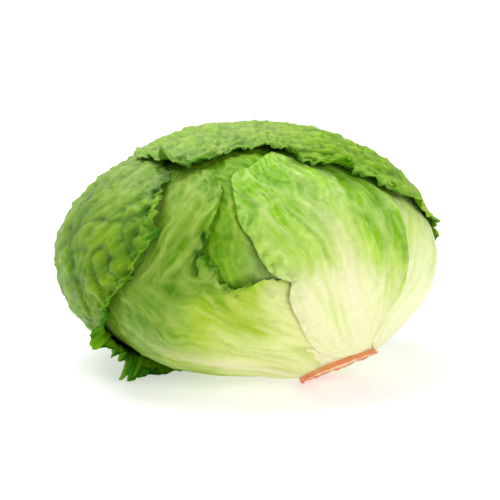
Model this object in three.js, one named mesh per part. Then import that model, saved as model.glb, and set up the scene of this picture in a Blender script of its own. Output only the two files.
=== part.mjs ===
// A head of crisphead lettuce lying on its side, with its cut stem low at the front right.
// Millimetres, +Z up. The head is a rounded body about one centre. Each leaf is a curved blade
// that lies a set depth under that body, with an outline given as angles about its own middle.
import * as THREE from "three";
import * as BufferGeometryUtils from "three/addons/utils/BufferGeometryUtils.js";

const DEG = Math.PI / 180;

// Body of the head
const CENTRE = new THREE.Vector3(0, 8, 56.5);
const HALF_LEFT = 90;
const HALF_RIGHT = 87;
const HALF_DEPTH = 76;
const HALF_UP = 56;
const HALF_DOWN = 58.5;
const ROUNDNESS = 2.15;
const SWELLS = [
  { name: "upper left shoulder", toward: new THREE.Vector3(-0.87, 0.14, 0.48), rise: -8, spread: 24 * DEG },
  { name: "right cheek", toward: new THREE.Vector3(0.97, -0.15, -0.1), rise: 2, spread: 20 * DEG },
];
const REST_SINK = 1.2;
const REST_BLEND = 3;
const CRUMPLE = 0.3;

// Cut stem
const STEM_OUT = new THREE.Vector3(41.5, -40.5, -48);
const CUT_FACING = new THREE.Vector3(0.354, -0.339, -0.877).normalize();
const STEM_HALF_ANGLE = 13 * DEG;
const STEM_DEPTH = 17;
const HEART_TO_STEM = 1.5;
const RIM_SHOWN = 3;
const NECK_SPREAD = 10 * DEG;
const CUT_BEVEL = 1.5;
const LEAF_BASE_ANGLE = 14.3 * DEG;

// Leaves
const MARGIN_THICK = 1.3;
const BLADE_THICK = 1.9;
const RIB_THICK = 1.8;
const RIB_HALF_WIDTH = 14;
const LEAF_GAP = 2.8;
const COVER_FADE = 18;
const OPEN_FROM = 6;
const FRILL_WIDTH = 18;
const FRILL_LOW = 1;
const FRILL_SHARE = 0.4;

// Where the finished head's middle and floor lie, measured on the finished shape
const CENTRE_SHIFT = new THREE.Vector3(-1.42, -6.373, 0);

// Rings of points on a leaf: share of the way from its middle to its margin, and points round it
const LEAF_RINGS = [[0.14, 12], [0.28, 24], [0.42, 48], [0.56, 48], [0.68, 48], [0.79, 96], [0.9, 96], [1, 96]];
const SPOKE_CROWDING = 0.45;

// Leaves from the innermost out. The middle is [angle from the stem, angle round it].
// Each outline point is [direction about the middle, reach, lift in mm]; direction 0 is toward the stem.
const LEAVES = [
  {
    name: "leaf_inner", colour: [176, 202, 104], middle: [75, 38], waves: 19,
    outline: [[-149, 55, 1], [-84, 42, 1], [-37, 51, 1], [-12, 58, 0], [0, 60, 0], [12, 58, 0],
      [37, 51, 1], [91, 45, 1], [147, 61, 1], [180, 56, 1]],
  },
  {
    name: "leaf_back", colour: [150, 187, 80], middle: [95, -152], waves: 23,
    outline: [[-166, 64, 2], [-146, 66, 2], [-123, 55, 2], [-85, 47, 2], [-47, 55, 1], [-16, 70, 0],
      [0, 81, 0], [17, 70, 0], [47, 54, 1], [84, 40, 2], [127, 48, 2], [151, 63, 2], [173, 64, 2]],
  },
  {
    name: "leaf_right", colour: [205, 226, 145], middle: [70, -62], waves: 21,
    outline: [[-154, 50, 2], [-119, 55, 1], [-93, 53, 0], [-67, 50, 0], [-44, 51, 0], [-28, 56, 0],
      [-15, 58, 0], [-7, 58, 0], [0, 56, 0], [10, 58, 0], [29, 54, 0], [61, 50, 1], [99, 54, 2],
      [133, 53, 2], [171, 49, 2]],
  },
  {
    name: "leaf_left", colour: [160, 196, 92], middle: [70, 90], waves: 20,
    outline: [[-180, 55, 1], [-147, 47, 1], [-116, 43, 1], [-82, 43, 0], [-46, 45, 0], [-19, 51, 0],
      [-1, 56, 0], [11, 58, 0], [22, 58, 0], [35, 57, 0], [47, 56, 1], [55, 54, 1], [60, 49, 1],
      [64, 43, 2], [68, 38, 3], [73, 36, 3], [79, 37, 3.5], [85, 39, 3.8],
      [91, 43, 3.8], [97, 54, 3], [103, 63, 2], [113, 67, 2], [133, 68, 1], [155, 69, 0]],
  },
  {
    name: "leaf_far_left", colour: [98, 142, 28], middle: [112, 150], waves: 25,
    outline: [[-180, 66, 1], [-160, 64, 1], [-138, 56, 2], [-112, 46, 2], [-66, 46, 1], [-30, 59, 0],
      [-15, 86, 0], [-2, 98, 0], [1, 87, 0], [5, 70, 1], [13, 57, 1], [25, 51, 4], [38, 50, 6],
      [49, 53, 6], [58, 57, 6], [65, 61, 5], [71, 66, 3], [75, 70, 3], [79, 77, 4], [83, 85, 4],
      [88, 91, 4], [94, 95, 4], [103, 97, 3], [113, 97, 3], [124, 93, 2], [136, 88, 1], [148, 80, 1],
      [161, 73, 1]],
  },
  {
    name: "leaf_front", colour: [176, 203, 104], middle: [56, 3], waves: 19,
    outline: [[-177, 42, 0], [-163, 40, 0], [-148, 42, 1], [-139, 38, 2], [-127, 35, 2], [-116, 32, 3],
      [-108, 29, 3], [-92, 27, 3], [-79, 25, 2], [-66, 22, 2], [-58, 25, 2], [-39, 31, 1],
      [-18, 41, 0.5], [-3, 42, 0], [6, 42, 0], [11, 39, 0], [24, 34, 0], [34, 32, 0.5], [53, 29, 1],
      [74, 27, 1.5], [94, 30, 1.5], [109, 40, 1], [127, 49, 0], [156, 48, 0]],
  },
  {
    name: "leaf_cap", colour: [132, 170, 66], middle: [116, -110], waves: 27,
    outline: [[-175, 97, 1], [-165, 111, 1], [-154, 120, 3], [-142, 125, 4], [-133, 123, 4],
      [-119, 110, 2], [-108, 103, 2], [-100, 103, 3], [-93, 104, 3], [-86, 103, 3], [-77, 96, 3],
      [-71, 94, 3], [-65, 92, 3], [-59, 87, 3], [-53, 82, 2], [-46, 74, 2.5], [-32, 65, 1], [-9, 71, 1],
      [-2, 86, 1], [1, 102, 0], [10, 88, 1], [26, 67, 2], [55, 48, 3], [91, 42, 3], [128, 50, 3],
      [156, 64, 2], [168, 73, 1], [175, 78, 1]],
  },
];

const STEM_COLOUR = [238, 165, 95];
const HEART_COLOUR = [206, 219, 140];

// Frame about the stem: angle from it and angle round it
const STEM_AXIS = STEM_OUT.clone().normalize();
const ROUND_ZERO = squaredTo(new THREE.Vector3(0, -0.3, 1), STEM_AXIS);
const ROUND_QUARTER = new THREE.Vector3().crossVectors(STEM_AXIS, ROUND_ZERO);

function squaredTo(vector, axis) {
  return vector.clone().addScaledVector(axis, -vector.dot(axis)).normalize();
}

function blend(low, high, x) {
  const t = Math.min(1, Math.max(0, (x - low) / (high - low)));
  return t * t * (3 - 2 * t);
}

function combine(axis, first, second, away, round) {
  return axis.clone().multiplyScalar(Math.cos(away))
    .addScaledVector(first, Math.sin(away) * Math.cos(round))
    .addScaledVector(second, Math.sin(away) * Math.sin(round));
}

function stemDirection(away, round) {
  return combine(STEM_AXIS, ROUND_ZERO, ROUND_QUARTER, away, round);
}

function stemAngle(direction) {
  return Math.acos(Math.min(1, Math.max(-1, direction.dot(STEM_AXIS))));
}

// Each leaf's own frame: its middle, the way to the stem, and the way across
for (const leaf of LEAVES) {
  leaf.axis = stemDirection(leaf.middle[0] * DEG, leaf.middle[1] * DEG);
  leaf.toStem = squaredTo(STEM_AXIS, leaf.axis);
  leaf.across = new THREE.Vector3().crossVectors(leaf.axis, leaf.toStem);
}

function leafDirection(leaf, away, round) {
  return combine(leaf.axis, leaf.toStem, leaf.across, away, round);
}

function leafAngles(leaf, direction) {
  const away = Math.acos(Math.min(1, Math.max(-1, direction.dot(leaf.axis))));
  const round = Math.atan2(direction.dot(leaf.across), direction.dot(leaf.toStem));
  return [away, round];
}

// A smooth closed curve through the outline's points, read at one direction
function outlineAt(leaf, round) {
  const points = leaf.outline;
  const count = points.length;
  const wrapped = (index) => {
    const turn = Math.floor(index / count);
    const [at, reach, lift] = points[index - turn * count];
    return [at + 360 * turn, reach, lift];
  };
  let angle = round / DEG;
  while (angle < points[0][0]) angle += 360;
  while (angle >= points[0][0] + 360) angle -= 360;
  let index = 0;
  while (index < count - 1 && points[index + 1][0] <= angle) index += 1;
  const [before, start, end, after] = [index - 1, index, index + 1, index + 2].map(wrapped);
  const span = end[0] - start[0];
  const t = (angle - start[0]) / span;
  const value = (part) => {
    const slopeStart = (end[part] - before[part]) / (end[0] - before[0]) * span;
    const slopeEnd = (after[part] - start[part]) / (after[0] - start[0]) * span;
    return (2 * t ** 3 - 3 * t ** 2 + 1) * start[part] + (t ** 3 - 2 * t ** 2 + t) * slopeStart
      + (3 * t ** 2 - 2 * t ** 3) * end[part] + (t ** 3 - t ** 2) * slopeEnd;
  };
  return { reach: value(1) * DEG, lift: Math.max(0, value(2)) };
}

// How far a direction is beyond a leaf's margin, in mm over the body; inside it is below zero
function beyondMargin(leaf, direction) {
  const [away, round] = leafAngles(leaf, direction);
  const step = 2 * DEG;
  const reach = outlineAt(leaf, round).reach;
  const turn = (outlineAt(leaf, round + step).reach - outlineAt(leaf, round - step).reach) / (2 * step);
  const slant = Math.hypot(1, turn / Math.max(0.3, Math.sin(Math.min(reach, 90 * DEG))));
  return 78 * (away - reach) / slant;
}

function cover(leaf, direction) {
  return 1 - blend(0, COVER_FADE, beyondMargin(leaf, direction));
}

function plainRadius(direction) {
  const across = direction.x < 0 ? HALF_LEFT : HALF_RIGHT;
  const upright = direction.z < 0 ? HALF_DOWN : HALF_UP;
  const sum = Math.abs(direction.x / across) ** ROUNDNESS + Math.abs(direction.y / HALF_DEPTH) ** ROUNDNESS
    + Math.abs(direction.z / upright) ** ROUNDNESS;
  return sum ** (-1 / ROUNDNESS);
}

function cutRadius(direction) {
  return STEM_OUT.dot(CUT_FACING) / direction.dot(CUT_FACING);
}

// How fully the body has drawn out toward the stem: 1 at the leaf bases, 0 on the round of the head
function neckShare(direction) {
  return Math.exp(-((Math.max(0, stemAngle(direction) - LEAF_BASE_ANGLE) / NECK_SPREAD) ** 2));
}

// Rise that ends the body just under the rim of the cut
function neckRise(direction) {
  const round = Math.atan2(direction.dot(ROUND_QUARTER), direction.dot(ROUND_ZERO));
  const collar = stemDirection(LEAF_BASE_ANGLE, round);
  return cutRadius(collar) - RIM_SHOWN - plainRadius(collar);
}

function bodyRadius(direction) {
  const swell = SWELLS.reduce(
    (sum, { toward, rise, spread }) => sum + rise * Math.exp(-((direction.angleTo(toward) / spread) ** 2)), 0);
  const crumple = CRUMPLE * Math.sin(9 * direction.x + 4 * direction.z + 1)
    * Math.sin(8 * direction.y - 5 * direction.z + 2);
  const neck = neckShare(direction);
  return plainRadius(direction) + neck * neckRise(direction) + (1 - neck) * swell + crumple;
}

// The body pressed flat where it rests, at a depth under its surface and with a leaf edge's lift
function surfaceRadius(direction, depth, lift) {
  const free = bodyRadius(direction) - depth + lift;
  if (direction.z > -0.05) return free;
  const floor = (CENTRE.z - depth) / -direction.z;
  const low = floor + REST_SINK / -direction.z;
  const mix = Math.max(REST_BLEND - Math.abs(free - low), 0) / REST_BLEND;
  return Math.min(Math.min(free, low) - mix * mix * REST_BLEND / 4, floor);
}

function leafThickness(leaf, direction) {
  const [away, round] = leafAngles(leaf, direction);
  const inside = blend(0, 16, -beyondMargin(leaf, direction));
  const along = away * Math.cos(round);
  const aside = 78 * away * Math.sin(round) / RIB_HALF_WIDTH;
  const rib = RIB_THICK * blend(-30 * DEG, 40 * DEG, along) * Math.exp(-(aside ** 2));
  return MARGIN_THICK + (BLADE_THICK - MARGIN_THICK + rib) * inside;
}

function layer(leaf, direction) {
  return (leafThickness(leaf, direction) + LEAF_GAP) * cover(leaf, direction);
}

function depthUnder(index, direction) {
  return LEAVES.slice(index + 1).reduce((depth, leaf) => depth + layer(leaf, direction), 0);
}

function openness(index, direction) {
  return LEAVES.slice(index + 1).reduce(
    (open, leaf) => open * blend(OPEN_FROM, OPEN_FROM + COVER_FADE, beyondMargin(leaf, direction)), 1);
}

// Spokes crowd together toward the stem, where a leaf is narrow
function spoke(turn) {
  return turn - SPOKE_CROWDING * Math.sin(turn);
}

// A leaf's reach along a spoke, cut back where it meets the stem
function reachAlong(leaf, round) {
  let reach = outlineAt(leaf, round).reach;
  while (stemAngle(leafDirection(leaf, reach, round)) < LEAF_BASE_ANGLE) reach -= 0.1 * DEG;
  return reach;
}

// Edge lift: the leaf bends outward toward its margin and is waved along it
function edgeLift(leaf, index, share, turn, reach, direction) {
  const open = openness(index, direction);
  const fromMargin = 78 * reach * (1 - share);
  const bend = 1 - blend(0, FRILL_WIDTH, fromMargin);
  const wave = 0.5 + 0.5 * Math.sin(leaf.waves * turn + 2 * Math.sin(3 * turn + leaf.waves));
  const clear = blend(8 * DEG, 24 * DEG, stemAngle(direction) - LEAF_BASE_ANGLE);
  const lift = outlineAt(leaf, spoke(turn)).lift;
  return open * clear * bend * (lift + (FRILL_LOW + FRILL_SHARE * lift) * bend * wave);
}

function pointAt(direction, radius) {
  return direction.clone().multiplyScalar(radius).add(CENTRE).add(CENTRE_SHIFT);
}

// Triangles between two closed rings, the outer one with as many points or twice as many
function joinRings(inner, outer, triangles) {
  const times = outer.length / inner.length;
  for (let i = 0; i < inner.length; i += 1) {
    const next = inner[(i + 1) % inner.length];
    for (let k = 0; k < times; k += 1) {
      const a = outer[i * times + k];
      const b = outer[(i * times + k + 1) % outer.length];
      triangles.push([k < times / 2 ? inner[i] : next, a, b]);
      if (k === Math.ceil(times / 2) - 1) triangles.push([inner[i], b, next]);
    }
  }
}

function geometryFrom(points, triangles) {
  const geometry = new THREE.BufferGeometry();
  geometry.setAttribute("position", new THREE.Float32BufferAttribute(points.flatMap((p) => p.toArray()), 3));
  geometry.setIndex(triangles.flat());
  geometry.computeVertexNormals();
  return geometry;
}

// One face of rings about a middle point; each ring is a list of point numbers
function ringedFace(rings, middle) {
  const triangles = [];
  rings[0].forEach((point, i) => triangles.push([middle, point, rings[0][(i + 1) % rings[0].length]]));
  for (let r = 1; r < rings.length; r += 1) joinRings(rings[r - 1], rings[r], triangles);
  return triangles;
}

function leafGeometry(leaf, index) {
  const outer = [];
  const inner = [];
  const addPoint = (share, turn) => {
    const round = spoke(turn);
    const reach = reachAlong(leaf, round);
    const direction = leafDirection(leaf, share * reach, round);
    const depth = depthUnder(index, direction);
    const radius = surfaceRadius(direction, depth, edgeLift(leaf, index, share, turn, reach, direction));
    outer.push(pointAt(direction, radius));
    inner.push(pointAt(direction, radius - leafThickness(leaf, direction)));
    return outer.length - 1;
  };
  const middle = addPoint(0, 0);
  const rings = LEAF_RINGS.map(([share, count]) => Array.from({ length: count },
    (_, i) => addPoint(share, 2 * Math.PI * i / count - Math.PI)));
  const face = ringedFace(rings, middle);
  const shift = outer.length;
  const back = face.map(([a, b, c]) => [a + shift, c + shift, b + shift]);
  const rim = [];
  const edge = rings[rings.length - 1];
  edge.forEach((a, i) => {
    const b = edge[(i + 1) % edge.length];
    rim.push([a, a + shift, b], [b, a + shift, b + shift]);
  });
  return geometryFrom([...outer, ...inner], [...face, ...back, ...rim]);
}

// The heart: the closely packed inner head, pressed in under the stem
function heartRadius(direction) {
  const packed = depthUnder(-1, direction);
  const underStem = STEM_DEPTH * (1 - blend(20 * DEG, 36 * DEG, stemAngle(direction)));
  return surfaceRadius(direction, Math.max(packed, underStem), 0);
}

function heartGeometry() {
  const HEART_RINGS = 22;
  const points = [pointAt(STEM_AXIS, heartRadius(STEM_AXIS))];
  const rings = [];
  for (let r = 1; r < HEART_RINGS; r += 1) {
    const away = Math.PI * r / HEART_RINGS;
    const count = r < 3 || r > HEART_RINGS - 3 ? 18 : 36;
    rings.push(Array.from({ length: count }, (_, i) => {
      const direction = stemDirection(away, 2 * Math.PI * i / count);
      return points.push(pointAt(direction, heartRadius(direction))) - 1;
    }));
  }
  const far = STEM_AXIS.clone().negate();
  const last = points.push(pointAt(far, heartRadius(far))) - 1;
  const triangles = [];
  rings[0].forEach((point, i) => triangles.push([0, point, rings[0][(i + 1) % rings[0].length]]));
  for (let r = 1; r < rings.length; r += 1) {
    if (rings[r].length >= rings[r - 1].length) {
      joinRings(rings[r - 1], rings[r], triangles);
    } else {
      const reversed = [];
      joinRings(rings[r], rings[r - 1], reversed);
      reversed.forEach(([a, b, c]) => triangles.push([a, c, b]));
    }
  }
  const end = rings[rings.length - 1];
  end.forEach((point, i) => triangles.push([last, end[(i + 1) % end.length], point]));
  return geometryFrom(points, triangles);
}

// The stem: a short plug that stands out of the heart between the leaf bases, cut across
function stemGeometry() {
  const SIDES = 36;
  const rows = [
    { share: 0.5, count: 18, radius: (d) => heartRadius(d) + HEART_TO_STEM },
    { share: 1, count: SIDES, radius: (d) => heartRadius(d) + HEART_TO_STEM },
    { share: 1, count: SIDES, radius: (d) => (heartRadius(d) + 2 * cutRadius(d)) / 3 },
    { share: 1.02, count: SIDES, radius: (d) => cutRadius(d) - CUT_BEVEL },
    { share: 0.93, count: SIDES, radius: (d) => cutRadius(d) },
    { share: 0.5, count: 18, radius: (d) => cutRadius(d) - 0.5 },
  ];
  const points = [pointAt(STEM_AXIS, heartRadius(STEM_AXIS) + HEART_TO_STEM)];
  const rings = rows.map((row) => Array.from({ length: row.count }, (_, i) => {
    const direction = stemDirection(STEM_HALF_ANGLE * row.share, 2 * Math.PI * i / row.count);
    return points.push(pointAt(direction, row.radius(direction))) - 1;
  }));
  const top = points.push(pointAt(STEM_AXIS, cutRadius(STEM_AXIS) - 0.8)) - 1;
  const triangles = [];
  rings[0].forEach((point, i) => triangles.push([0, rings[0][(i + 1) % 18], point]));
  for (let r = 1; r < rings.length; r += 1) {
    const joined = [];
    if (rings[r].length >= rings[r - 1].length) {
      joinRings(rings[r - 1], rings[r], joined);
      joined.forEach(([a, b, c]) => triangles.push([a, c, b]));
    } else {
      joinRings(rings[r], rings[r - 1], joined);
      triangles.push(...joined);
    }
  }
  const end = rings[rings.length - 1];
  end.forEach((point, i) => triangles.push([top, point, end[(i + 1) % end.length]]));
  return geometryFrom(points, triangles);
}

function addMesh(group, name, geometry, colour, roughness) {
  const merged = BufferGeometryUtils.mergeVertices(geometry, 1e-4);
  const material = new THREE.MeshStandardMaterial({
    color: new THREE.Color().setRGB(...colour.map((c) => c / 255), THREE.SRGBColorSpace),
    roughness,
    metalness: 0,
  });
  const mesh = new THREE.Mesh(merged, material);
  mesh.name = name;
  group.add(mesh);
}

const lettuce = new THREE.Group();
lettuce.name = "lettuce_head";
addMesh(lettuce, "stem", stemGeometry(), STEM_COLOUR, 0.6);
addMesh(lettuce, "heart", heartGeometry(), HEART_COLOUR, 0.45);
LEAVES.forEach((leaf, index) => addMesh(lettuce, leaf.name, leafGeometry(leaf, index), leaf.colour, 0.42));

export default lettuce;
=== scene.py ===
"""Looks of a head of crisphead lettuce lying on its side on a pale floor.

Shapes are worked out in millimetres about the middle of the head and scaled to metres at the
end. The head is a rounded body about one centre. Each leaf lies a set depth under that body,
with an outline given as angles about the leaf's own middle.
"""
import itertools

import bpy
import numpy as np
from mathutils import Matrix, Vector


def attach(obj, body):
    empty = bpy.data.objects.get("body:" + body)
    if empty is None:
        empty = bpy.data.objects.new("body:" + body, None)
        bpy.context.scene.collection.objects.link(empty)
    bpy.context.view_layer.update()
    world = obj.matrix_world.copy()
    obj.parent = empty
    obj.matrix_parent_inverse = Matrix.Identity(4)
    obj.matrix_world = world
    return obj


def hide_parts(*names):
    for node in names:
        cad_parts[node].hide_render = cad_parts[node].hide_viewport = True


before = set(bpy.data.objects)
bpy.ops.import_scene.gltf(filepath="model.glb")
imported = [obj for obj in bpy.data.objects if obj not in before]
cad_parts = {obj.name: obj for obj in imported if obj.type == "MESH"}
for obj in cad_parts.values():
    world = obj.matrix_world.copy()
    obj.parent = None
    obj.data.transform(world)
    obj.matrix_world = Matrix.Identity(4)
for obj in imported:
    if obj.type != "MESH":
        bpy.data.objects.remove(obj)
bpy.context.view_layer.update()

DEG = np.pi / 180
METRES = 0.001


def unit(vector):
    return np.asarray(vector, float) / np.linalg.norm(vector)


# Body of the head in mm: its centre, its half sizes and how square it is
CENTRE = np.array([0.0, 8.0, 56.5])
HALF_LEFT = 90
HALF_RIGHT = 87
HALF_DEPTH = 76
HALF_UP = 56
HALF_DOWN = 58.5
ROUNDNESS = 2.15
# Shift that brings the middle of the finished head over the origin
CENTRE_SHIFT = np.array([-1.42, -6.373, 0.0])
# Mean radius of the body, which turns angles at its centre into mm over its surface
MEAN_RADIUS = 78
# A hollow at the upper left shoulder and a bulge at the right cheek
SWELLS = [
    {"toward": (-0.87, 0.14, 0.48), "rise": -8, "spread": 24 * DEG},
    {"toward": (0.97, -0.15, -0.1), "rise": 2, "spread": 20 * DEG},
]
# Flat underside: how far below the floor the body is cut off, and how softly
REST_SINK = 1.2
REST_BLEND = 3
LOWEST_LEAF = 0.05
LOWEST_UNDER_SIDE = 0.02
LOWEST_STEM = 0.1

# Cut stem: the middle of its cut from the centre, and where the leaf bases begin round it
STEM_OUT = np.array([41.5, -40.5, -48.0])
CUT_FACING = unit([0.354, -0.339, -0.877])
STEM_HALF_ANGLE = 13.8 * DEG
STEM_DEPTH = 17
RIM_SHOWN = 1.6
NECK_SPREAD = 10 * DEG
LEAF_BASE_ANGLE = 13.2 * DEG
STEM_COLUMNS = 240
STEM_SIDE_ROWS = 14
STEM_FACE_ROWS = 60
STEM_SKIN = (226, 222, 170)
STEM_RIM = (232, 140, 78)
CUT_MIDDLE = (244, 212, 168)
CUT_EDGE = (222, 118, 66)

# Packed heart
HEART_ROWS = 100
HEART_COLUMNS = 200
HEART_GAP = 0.3
HEART_PALE = (234, 235, 196)
HEART_GREEN = (120, 170, 40)

# Layers of leaves, in mm
MARGIN_THICK = 0.6
BLADE_THICK = 1.2
RIB_THICK = 1.4
RIB_HALF_WIDTH = 14
LEAF_GAP = 0.9
COVER_FADE = 14
OPEN_FROM = 2
COVERED_SINK = 1.2
DEEPEST = 1.3
EDGE_THICK = 0.35
SHEET_THICK = 0.8

# Margins, in mm: long waves lift them, and short ones ruffle them and cut their lobes
FRILL_WIDTH = 14
RUFFLE_WIDTH = 8
LARGE_FRILL = 4.2
SMALL_FRILL = 2.1
HOLLOW_DEPTH = 2
# Lift at which a margin frills fully
LIVELY_LIFT = 3
# Share of an outline's lift that is kept everywhere, and that comes and goes along the margin
LIFT_KEPT = 0.3
LIFT_LOCAL = 0.3
# 0 lets the ruffles run straight in from the margin, 1 lets them change freely on the way
FRILL_TWIST = 0.7

# Colours that all leaves share: a greyish painted sheen, the painted shade of ruffle pockets and the
# midrib; and the side that the painted sheen is on, toward the upper left
PAINTED_SHEEN = (196, 208, 160)
PAINTED_POCKET_SHADE = (34, 104, 6)
MIDRIB = (238, 230, 190)
PAINTED_SHEEN_SIDE = (-0.5, 0.1, 0.85)
# Powers for red, green and blue by which a shaded spot turns a deeper green
DARK_TURNS_GREEN = np.array([1.3, 0.85, 1.7])

# Mesh of a leaf: rows inside, rows across the margin's band in mm, and rows of the under side
INNER_ROWS = 76
BAND_ROWS = 28
BAND = 18
UNDER_ROWS = 16

# Camera of the photo: 14 degrees above level, 1 m away, aimed so that AIM falls on AIM_PIXEL
CAMERA_RISE = 14 * DEG
CAMERA_AWAY = 1.0
MM_PER_PIXEL = 0.466
AIM = (np.array([0.0, 0.0, 56.5]) + CENTRE_SHIFT) * METRES
AIM_PIXEL = (246, 249)
IMAGE_PIXELS = 500
SENSOR = 36

# Studio, in metres and watts
FLOOR_HALF = 3.0
WORLD_STRENGTH = 0.55
LIGHTS = [
    {"name": "top_box", "place": (-0.4, 0.3, 1.4), "aim": (0, 0, 0.05), "size": 1.2, "power": 19},
    {"name": "front_box", "place": (0.9, -1.3, 0.9), "aim": (0, 0, 0.05), "size": 0.8, "power": 9.5},
]
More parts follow.
